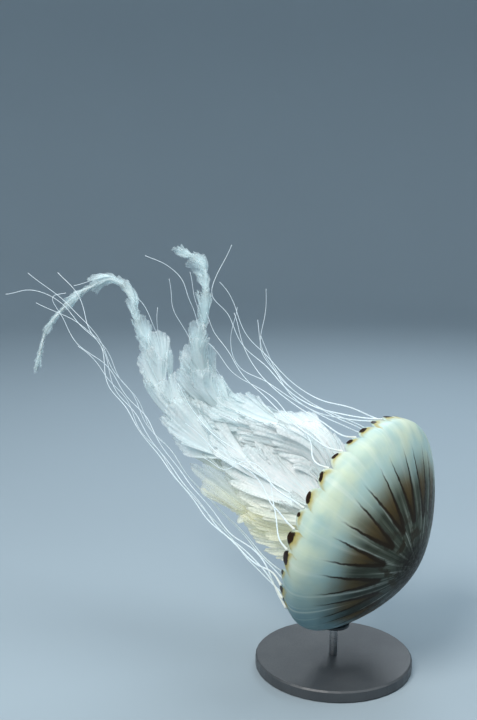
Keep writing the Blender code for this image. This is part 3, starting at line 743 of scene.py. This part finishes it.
def make_bell():
    """A closed shell: the outer dome, the rounded rim with its lappets, and the hollow."""
    columns = CLEFTS * LAPPET_COLUMNS
    angle = CLEFT_PHASE + TURN * np.arange(columns) / columns
    lobe = np.abs(np.sin(pi * ((angle - CLEFT_PHASE) * CLEFTS / TURN)))
    cut = LAPPET_CUT * (1 - lobe**0.6)

    def shares(rows):
        near_rim = smoothstep(0.8, 1.0, rows)
        return rows[:, None] * (1 - 0.006) - near_rim[:, None] * cut[None, :]

    outer_rows = np.concatenate([np.linspace(0.012, 0.8, 64), np.linspace(0.8, 1, 34)[1:]])
    outer_shares = shares(outer_rows)
    rimward = np.exp(-(1 - outer_rows) / FURROW_REACH)[:, None]
    furrow = FURROW_DEPTH * rimward * (1 - lobe)[None, :]**2
    flare = LAPPET_FLARE * (0.3 + wander(5.3 * angle, 0.8)) * lobe

    def bend(rows):
        return smoothstep(0.88, 1.0, rows)[:, None]**2 * flare[None, :]

    outer = sunk_profile(outer_shares, SKIN_INSET + furrow - bend(outer_rows))
    soft = 0.5 * np.exp(-((outer_rows - EQUATOR) / SOFT_BELT)**2)[1:-1, None]
    for curve in outer[:2]:
        for _ in range(SOFT_PASSES):
            curve[1:-1] += soft * ((curve[:-2] + curve[2:]) / 2 - curve[1:-1])

    inner_rows = np.linspace(1, ROOF_SHARE, 70)
    inner_shares = shares(inner_rows)
    folds = smoothstep(0.45, 0.75, inner_rows) * smoothstep(1.0, 0.88, inner_rows)
    pleat = 0.0006 * folds[:, None] * np.sin(CLEFTS * (angle - CLEFT_PHASE))[None, :]
    inner = sunk_profile(inner_shares, wall(inner_shares) + pleat - bend(inner_rows))

    turns = np.linspace(0, pi, 6)[1:-1, None]
    middle = [(a[-1] + b[0]) / 2 for a, b in zip(outer[:2], inner[:2])]
    half = [(a[-1] - b[0]) / 2 for a, b in zip(outer[:2], inner[:2])]
    thick = np.hypot(*half)
    rim_radius = middle[0] + half[0] * np.cos(turns) + outer[2][-1] * thick * np.sin(turns)
    rim_height = middle[1] + half[1] * np.cos(turns) + outer[3][-1] * thick * np.sin(turns)

    roof_steps = np.linspace(1, 0.04, 8)[1:, None]
    roof_radius = inner[0][-1] * roof_steps
    roof_height = np.repeat(inner[1][-1:], len(roof_steps), axis=0)
    radius = np.concatenate([outer[0], rim_radius, inner[0], roof_radius])
    height = np.concatenate([outer[1], rim_height, inner[1], roof_height])
    tips = outer_profile(np.array(0.0))[1] - SKIN_INSET, roof_height[-1, 0]

    steps = np.hypot(np.diff(radius, axis=0), np.diff(height, axis=0))
    run = np.concatenate([np.zeros((1, columns)), np.cumsum(steps, axis=0)])
    margin = np.abs(run - run[len(outer_rows)])
    inside = np.zeros_like(radius)
    inside[len(outer_rows) + 2:] = 1
    phase = np.broadcast_to(angle - CLEFT_PHASE, radius.shape)
    around = np.stack([np.sin(phase), np.cos(phase), radius], axis=-1).reshape(-1, 3)
    rim_facts = np.stack([margin, inside, height], axis=-1).reshape(-1, 3)
    around = np.vstack([around, [0, 1, 0], [0, 1, 0]])
    rim_facts = np.vstack([rim_facts, [0.15, 0, 0], [0.15, 1, 0]])
    make_piece("bell_skin", turned_shell(radius, height, angle, tips),
               flat_discs(run, len(outer_rows) + 2), bell_material(),
               [("round", around), ("rim", rim_facts)], "bell")


# ---- the oral arms

# A frond's waves: half waves from side to side, height as a share of its arm's half width,
# and how that grows towards its edge
FROND_WAVES = [(1.7, 0.16, 1.1), (3.3, 0.06, 1.6), (7.1, 0.012, 5.0)]
WAVE_LIMIT = 0.022  # the half width past which the waves grow no higher
FROND_STEP = 0.5  # along the arm from root to root, as a share of the half width
FROND_TURN = radians(137.5)  # round the arm from root to root
FROND_BASE = 0.005
FROND_REACH = 2.05  # length as a share of the arm's half width, past its base
TIP_REACH = 0.006
FROND_ROW = 0.0022
FROND_COLUMN = 0.0011
FEWEST_ROWS = 7
FEWEST_COLUMNS = 9
FLATNESS = 0.75  # an arm's depth as a share of its breadth
SINK = 0.4  # how far the fronds lean in towards the bell's axis
ROOT_STAND = 0.12  # how far from the rib a frond starts, against the half width
ROOT_THICK = 0.0015
LOBE_WIDTH = 0.017
TOOTH_WIDTH = 0.0031
TOOTH = 0.0021
SLIMMING = 0.25  # how much slimmer the gauze is than its arm at the slender ends
CLUMP = 0.5  # how much the slender ends swell and shrink
CLUMP_LENGTH = 0.043
FRILL_LENGTH = 0.0052
FRILL_HEIGHT = 0.0011
FROND_FLATNESS = 0.35  # how little a frond wraps round its arm, from 0 to 1
GREAT_FLATNESS = 0.66
RIB_SIDES = 10
FIRST_ROOT = -0.012  # the first fronds leave the stalk this far before the mouth
GAUZE_CLEARING = 0.5  # how much thinner the gauze gets away from the mouth
WISP_TONE = (1.0, 0.5)


# The broadest sheets near the mouth: start along the arm, half width, azimuth in degrees,
# length and half angle
GREAT_FRONDS = {
    "arm_raised": [(-0.012, 0.036, 190, 0.105, 0.5), (0.0, 0.036, 140, 0.09, 0.5),
        (0.02, 0.04, 205, 0.105, 0.48), (0.045, 0.044, 195, 0.1, 0.5),
        (0.08, 0.038, 215, 0.095, 0.45), (0.11, 0.034, 200, 0.08, 0.5)],
    "arm_near": [(-0.012, 0.036, 60, 0.11, 0.5), (0.01, 0.036, 30, 0.105, 0.5),
        (0.03, 0.036, 0, 0.095, 0.48), (0.06, 0.034, 20, 0.095, 0.5),
        (0.1, 0.032, 10, 0.085, 0.5), (0.14, 0.028, 60, 0.07, 0.55)],
    "arm_lower": [(-0.012, 0.03, 0, 0.096, 0.72), (0.004, 0.03, 55, 0.084, 0.66),
        (0.015, 0.028, -40, 0.076, 0.64), (0.03, 0.026, 20, 0.062, 0.7)],
    "arm_far": [(0.0, 0.034, 0, 0.1, 0.5), (0.01, 0.034, 180, 0.095, 0.5)],
}

# In how many pieces each arm's sheets are gathered
ARM_PIECES = {"arm_raised": 3, "arm_near": 3, "arm_lower": 1, "arm_far": 2}

# Long thin wisps that trail from the arms, in the same terms
WISPS = {
    "arm_raised": [(0.12, 0.03, 120, 0.075, 0.16), (0.175, 0.022, 300, 0.06, 0.2),
        (0.215, 0.016, 80, 0.05, 0.22)],
    "arm_near": [(0.15, 0.03, -60, 0.085, 0.15), (0.215, 0.024, -30, 0.06, 0.2),
        (0.25, 0.02, 80, 0.055, 0.2)],
    "arm_lower": [(0.03, 0.022, 20, 0.125, 0.13), (0.045, 0.026, -30, 0.105, 0.14),
        (0.06, 0.018, 60, 0.09, 0.15)],
}


class Arm:
    """An oral arm's path, with the directions across it, at any distance from the mouth."""

    def __init__(self, name):
        route = np.array(ARM_ROUTES[name]) / PER_METRE
        count = int(path_length(route) / ARM_STEP)
        path = smooth_path(route, count + 1)
        centres = bell_space(path[:, 0], path[:, 1], path[:, 2])
        tangents, normals, sides = carried_frames(centres, ARM_OUTWARD[name])
        turn = (ARM_TWISTS[name] * np.linspace(0, 1, count + 1)**2)[:, None]
        outwards = normals * np.cos(turn) + sides * np.sin(turn)
        sides = sides * np.cos(turn) - normals * np.sin(turn)
        self.half = path[:, 3]
        self.length = count * ARM_STEP
        self.table = np.concatenate([centres, tangents, outwards, sides], axis=1)

    def width(self, distance):
        return float(np.interp(distance / ARM_STEP, np.arange(len(self.half)), self.half))

    def at(self, distance):
        """Centre, outward and side vectors at distances, running straight on past the tip."""
        inner = np.clip(distance, 0, self.length)
        place = inner / ARM_STEP
        low = np.minimum(place.astype(int), len(self.table) - 2)
        part = (place - low)[..., None]
        values = self.table[low] * (1 - part) + self.table[low + 1] * part
        centre = values[..., :3] + values[..., 3:6] * (distance - inner)[..., None]
        return centre, values[..., 6:9], values[..., 9:12]


def add_frond(sheets, arm, start, half, azimuth, reach, spread, flat, tone, dice):
    """A fan-shaped sheet that leaves the rib tipwards and wraps round the arm, with a frill."""
    lift = dice.uniform(0.72 - 0.25 * tone[0], 1.05 + 0.25 * tone[0])
    curl = dice.uniform(-0.12, 0.2)
    seed = dice.uniform(0, 20)
    rows = FEWEST_ROWS + int(reach / FROND_ROW)
    columns = FEWEST_COLUMNS + int(2 * spread * reach / FROND_COLUMN)
    v = np.linspace(0.05, 1, rows)[:, None]
    turn = np.linspace(-spread, spread, columns)[None, :]
    share = turn / spread
    edge = reach * turn
    lobe = np.abs(np.sin(pi * edge / LOBE_WIDTH + wander(edge / 0.011, seed)))
    outline = 1 - 0.46 * share**2 + 0.12 * wander(2.4 * turn, seed) + 0.15 * lobe**0.6
    teeth = np.abs(np.sin(pi * edge / TOOTH_WIDTH + wander(edge / 0.007, 2 * seed)))
    run = reach * v * outline + TOOTH * v**8 * teeth
    cone = ROOT_STAND + (lift - ROOT_STAND) * v**0.8
    stand = cone + curl * v**3
    for k, (waves, height, growth) in enumerate(FROND_WAVES):
        phase = pi * waves * share + seed * (k + 1) + 1.5 * v
        stand = stand + height * min(1, WAVE_LIMIT / half) * v**growth * np.sin(phase)
    frill = np.sin(TURN * edge / FRILL_LENGTH + 1.5 * wander(edge / 0.009, seed))
    stand = stand + FRILL_HEIGHT / half * v**7 * frill
    aside = run * np.sin(turn)
    around = azimuth + aside / (half * cone)
    centre, outward, side = arm.at(start + run * np.cos(turn))
    wrapped = side * np.cos(around)[..., None] + outward * (FLATNESS * np.sin(around))[..., None]
    facing = side * math.cos(azimuth) + outward * (FLATNESS * math.sin(azimuth))
    level = outward * math.cos(azimuth) - side * math.sin(azimuth)
    bulge = facing * flat + wrapped * (1 - flat)
    middle = (centre + bulge * (half * stand)[..., None] + level * (flat * aside)[..., None]
              - outward * (FLATNESS * half * SINK * v)[..., None])
    raised = (middle - BELL_CENTRE) @ RAISED
    near_bell = smoothstep(0.15, 0.1, start)
    cream = near_bell * smoothstep(0.02, -0.035, raised)
    facts = np.stack(np.broadcast_arrays(turn + seed, run, v, tone[0], cream, tone[1]), axis=-1)
    thickness = EDGE_THICK + (ROOT_THICK - EDGE_THICK) * (1 - v)**3 + 0 * turn
    sheets.add_sheet(middle, thickness, facts)


def add_rib(sheets, arm):
    """The slender stalk down the middle of an arm, from which its fronds leave."""
    distance = np.linspace(0, arm.length, len(arm.half))
    centres, outward, side = arm.at(distance)
    tangents = np.cross(outward, side)
    radius = 0.001 + 0.08 * arm.half
    facts = np.zeros((len(centres), RIB_SIDES, 6))
    facts[..., 1] = distance[:, None]
    sheets.add_tube(centres, (tangents, outward, side), radius, RIB_SIDES, facts)


def least(groups):
    """The group of sheets with the fewest points."""
    return min(groups, key=lambda sheets: sheets.count)


def clearing(start):
    """How much thinner the gauze is away from the mouth, from 0 to 1."""
    return GAUZE_CLEARING * float(smoothstep(0.03, 0.12, start))


def make_arm(name):
    arm = Arm(name)
    groups = [Sheets() for _ in range(ARM_PIECES[name])]
    add_rib(groups[0], arm)
    dice = np.random.default_rng(len(name) + ord(name[4]))
    start = FIRST_ROOT
    azimuth = 0.0
    while start < arm.length - 0.004:
        half = max(arm.width(start), 0.024 * float(smoothstep(0.06, 0.04, start)))
        distal = float(smoothstep(0.02, 0.012, half))
        thin = max(float(smoothstep(0.022, 0.01, half)), clearing(start))
        half *= 1 - SLIMMING * distal
        half *= 1 + CLUMP * distal * math.sin(TURN * start / CLUMP_LENGTH + len(name))
        tone = (thin, dice.uniform(0, 1))
        reach = FROND_BASE + FROND_REACH * half * dice.uniform(0.8, 1.25)
        reach = min(reach, TIP_REACH + 0.64 * (arm.length - start))
        add_frond(least(groups), arm, start, half, azimuth, reach, dice.uniform(0.55, 0.8),
                  FROND_FLATNESS, tone, dice)
        azimuth += FROND_TURN
        start += FROND_STEP * half + 0.0006
    for table in (GREAT_FRONDS, WISPS):
        for start, half, degrees, reach, spread in table.get(name, ()):
            tone = WISP_TONE if table is WISPS else (clearing(start), dice.uniform(0, 0.4))
            add_frond(least(groups), arm, start, half, radians(degrees), reach, spread,
                      GREAT_FLATNESS, tone, dice)
    for number, sheets in enumerate(groups, 1):
        form, flat, facts = sheets.arrays()
        make_piece(f"{name}_skin_{number}", form, flat, ARM_SURFACE,
                   [("weave", facts[:, :3]), ("tone", facts[:, 3:])], name)


def make_manubrium():
    """The fluted stalk from the hollow's roof to the mouth, whose lips run into the arms."""
    columns = 128
    angle = CLEFT_PHASE + TURN * np.arange(columns) / columns
    roof = sunk_profile(np.array(ROOF_SHARE), wall(np.array(ROOF_SHARE)))[1] + 0.0015
    t = np.linspace(0, 1, 60)[:, None]
    height = roof + (MOUTH_PLANE - roof) * t
    radius = MANUBRIUM_RADIUS + (MOUTH_RADIUS - MANUBRIUM_RADIUS) * np.sin(0.5 * pi * t)
    radius = radius * (1 - 0.1 * t * np.cos(4 * angle - pi))
    radius = radius * (1 + 0.015 * np.sin(24 * angle + 3 * np.sin(5 * t)))
    u = np.linspace(0, 1, 12)[1:, None]
    lip_radius = radius[-1] * (1 - 0.96 * u)
    lip_height = MOUTH_PLANE + 0.01 * np.sin(pi * u / 2) + 0 * lip_radius
    radius = np.concatenate([radius, lip_radius])
    height = np.concatenate([height + 0 * angle, lip_height])
    tips = float(roof), float(lip_height[-1, 0])
    rows = len(radius)
    run = np.linspace(0, 0.06, rows)[:, None] + 0 * angle
    facts = np.stack([0.02 * np.sin(angle) + 0 * run, run, 0 * run], axis=-1).reshape(-1, 3)
    facts = np.vstack([facts, [0, 0, 0], [0, 0.06, 0]])
    flat = flat_tube(rows, columns, 1, 0.96, 0.01)
    make_piece("manubrium_skin", turned_shell(radius, height, angle, tips),
               np.concatenate([part.reshape(-1, 2) for part in flat]) + [0, 0.02], ARM_SURFACE,
               [("weave", facts)], "manubrium")


# ---- the tentacles

def tentacle_route(octant, member):
    """Points of one tentacle in bell space: its cleft, its stream's trunk and its own end."""
    angle = CLEFT_PHASE + TURN * (octant + (member + 1) / 4) / OCTANTS
    line = np.array(TENTACLE_LINE)
    outer = outer_profile(line)
    inner = sunk_profile(line, wall(line))
    radius = 0.5 * (outer[0] + inner[0])
    height = 0.5 * (outer[1] + inner[1])
    root = np.array([height, radius * math.cos(angle), radius * math.sin(angle)])
    hang = np.array([root[0] - HANG, HANG_PINCH * root[1], HANG_PINCH * root[2]])
    lane_angle = CLEFT_PHASE + TURN * (octant / OCTANTS + member / 3)
    lane = TENTACLE_LANE * np.array([0, math.cos(lane_angle), math.sin(lane_angle)])
    trunk, ends = STREAMS[octant]
    trunk = np.array(trunk) / PER_METRE
    route = [root, hang]
    for step, point in enumerate(trunk):
        spread = (root - trunk[0]) * (1 - (step + 1) / (len(trunk) + 1))
        delay = JOIN_DELAY * math.hypot(spread[1], spread[2])
        spread = ROOT_SPREAD * spread
        spread[0] = -delay
        route.append(point + lane + spread)
    return route + [np.array(point) / PER_METRE for point in ends[member]]


def add_tentacle(sheets, octant, member):
    """A thin beaded tube that flares where it leaves its cleft."""
    route = tentacle_route(octant, member)
    length = path_length(route)
    lengths = 2 if length > LONG_TENTACLE else 1
    stations = int(length / TENTACLE_STATION)
    stations += stations % lengths
    rows = int(length / TENTACLE_ROW)
    sides = TENTACLE_SIDES
    path = smooth_path(route, rows + 1)
    share = np.linspace(0, 1, rows + 1)
    phase = 1.7 * octant + 0.5 * member
    sway = TENTACLE_SWAY * np.sin(pi * np.minimum(1, 2.5 * share) / 2)**2
    wave = TURN * share * stations * TENTACLE_STATION / SWAY_LENGTH + phase
    centres = bell_space(path[:, 0], path[:, 1] + sway * np.sin(wave),
                         path[:, 2] + sway * np.cos(1.3 * wave))
    tangents, normals, across = carried_frames(centres, RAISED + NEAR * 0.3)
    distance = share * length
    radius = TENTACLE_TIP + (TENTACLE_ROOT - TENTACLE_TIP) * (1 - share)**TENTACLE_TAPER
    radius = radius * (0.96 + 0.06 * np.sin(TURN * distance / BEAD_LENGTH + phase))
    radius = radius + 0.0006 * np.exp(-distance / 0.004)
    facts = np.stack(np.broadcast_arrays(distance[:, None], phase, share[:, None]
                                         + np.zeros(sides)), axis=-1)
    sheets.add_tube(centres, (tangents, normals, across), radius, sides, facts)


def make_tentacles():
    sheets = Sheets()
    for octant in range(OCTANTS):
        for member in range(3):
            add_tentacle(sheets, octant, member)
    form, flat, facts = sheets.arrays()
    make_piece("tentacle_skin", form, flat, tentacle_material(), [("weave", facts)],
               "tentacle")


# ---- stand and studio

def paint_material():
    s = Shader("stand_paint_satin")
    place = s.place()
    speckle = s.noise(place, 900, 3)
    cloud = s.noise(place, 30, 3)
    s.set(Base_Color=s.mix(s.step(cloud, 0.3, 0.7), (0.05, 0.056, 0.062), (0.066, 0.072, 0.078)),
          Roughness=s.step(speckle, 0.3, 0.7, 0.36, 0.52), IOR=1.5)
    s.bump(speckle, 0.25, 0.0002)
    return s.material


def steel_material():
    s = Shader("stand_steel_brushed")
    x, y, z = s.node("SeparateXYZ", Vector=s.place()).outputs
    lines = s.noise(s.vector(s.times(x, 60.0), s.times(y, 60.0), s.times(z, 5200.0)), 1.0, 2)
    s.set(Base_Color=s.mix(s.step(lines, 0.3, 0.7), (0.5, 0.51, 0.52), (0.7, 0.71, 0.72)),
          Metallic=1.0, Roughness=s.step(lines, 0.3, 0.7, 0.24, 0.4))
    s.bump(lines, 0.2, 0.0001)
    return s.material


def finish_stand():
    surfaces = {"stand_base": (paint_material(), "stand_paint"),
                "stand_rod": (steel_material(), "stand_steel")}
    surfaces["stand_saddle"] = surfaces["stand_base"]
    for node, (surface, slot) in surfaces.items():
        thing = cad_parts[node]
        for place in thing.material_slots:
            place.material = surface


def make_studio():
    """A pale floor that turns up into a round wall, well outside every view's camera."""
    s = Shader("studio_paper")
    grain = s.noise(s.place(), 3.0, 3)
    s.set(Base_Color=s.mix(grain, (0.3, 0.365, 0.41), (0.312, 0.38, 0.425)), Roughness=0.95)
    flat, bend, top = 2.6, 1.2, 5.0
    profile = [(r, 0.0) for r in (0.5, 1.2, flat)]
    for i in range(1, 17):
        turn = pi / 2 * i / 16
        profile.append((flat + bend * math.sin(turn), bend * (1 - math.cos(turn))))
    profile.append((flat + bend, top))
    columns = 96
    angle = TURN * np.arange(columns) / columns
    rings = [np.stack([r * np.cos(angle), r * np.sin(angle), z + 0 * angle], axis=-1)
             for r, z in profile]
    points = np.vstack([np.concatenate(rings), [0, 0, 0]])
    quads = grid_quads(len(rings), columns, True)[:, ::-1]
    edge = np.arange(columns)
    triangles = np.stack([np.roll(edge, -1), edge, np.full(columns, len(points) - 1)], axis=-1)
    add_object("studio", smooth_mesh("studio", points, quads, triangles, s.material))


def make_lights():
    for name, place, power, colour in (("key", (-0.8, -1.1, 1.6), 36, (1.0, 0.98, 0.95)),
                                       ("top", (0.8, -0.1, 1.5), 9, (0.95, 1.0, 1.0)),
                                       ("back", (0.4, 1.5, 1.5), 14, (0.85, 0.93, 1.0))):
        lamp = bpy.data.lights.new(name, "AREA")
        lamp.shape = "DISK"
        lamp.size = 0.9
        lamp.energy = power
        lamp.color = colour
        thing = add_object(name, lamp)
        thing.location = place
        aim = Vector(LIT_PLACE) - Vector(place)
        thing.rotation_euler = aim.to_track_quat("-Z", "Y").to_euler()
        thing.visible_camera = False
    world = bpy.data.worlds.new("studio_air")
    world.use_nodes = True
    air = world.node_tree.nodes["Background"]
    air.inputs["Color"].default_value = (0.7, 0.82, 0.92, 1)
    air.inputs["Strength"].default_value = 0.95
    bpy.context.scene.world = world


def make_camera():
    lens = bpy.data.cameras.new("view")
    lens.lens = 50
    lens.sensor_width = 36
    lens.clip_end = 30
    camera = add_object("view", lens)
    camera.location = CAMERA_PLACE
    camera.rotation_euler = (radians(90) - CAMERA_DIP, 0, 0)
    bpy.context.scene.camera = camera


LIT_PLACE = (-0.05, 0.03, 0.2)
CAMERA_PLACE = (-0.0975, -0.9613, 0.4881)
CAMERA_DIP = radians(10)
BELL_CENTRE = np.zeros(3)  # until the bell's lowest point is known
BELL_CENTRE = np.array([0, 0, FLOOR_CLEARANCE]) - lowest_bell_point()

ARM_SURFACE = arm_material()
make_bell()
make_manubrium()
for arm in ARM_ROUTES:
    make_arm(arm)
make_tentacles()
finish_stand()
make_studio()
make_lights()
make_camera()
bpy.context.scene.view_settings.view_transform = "Standard"
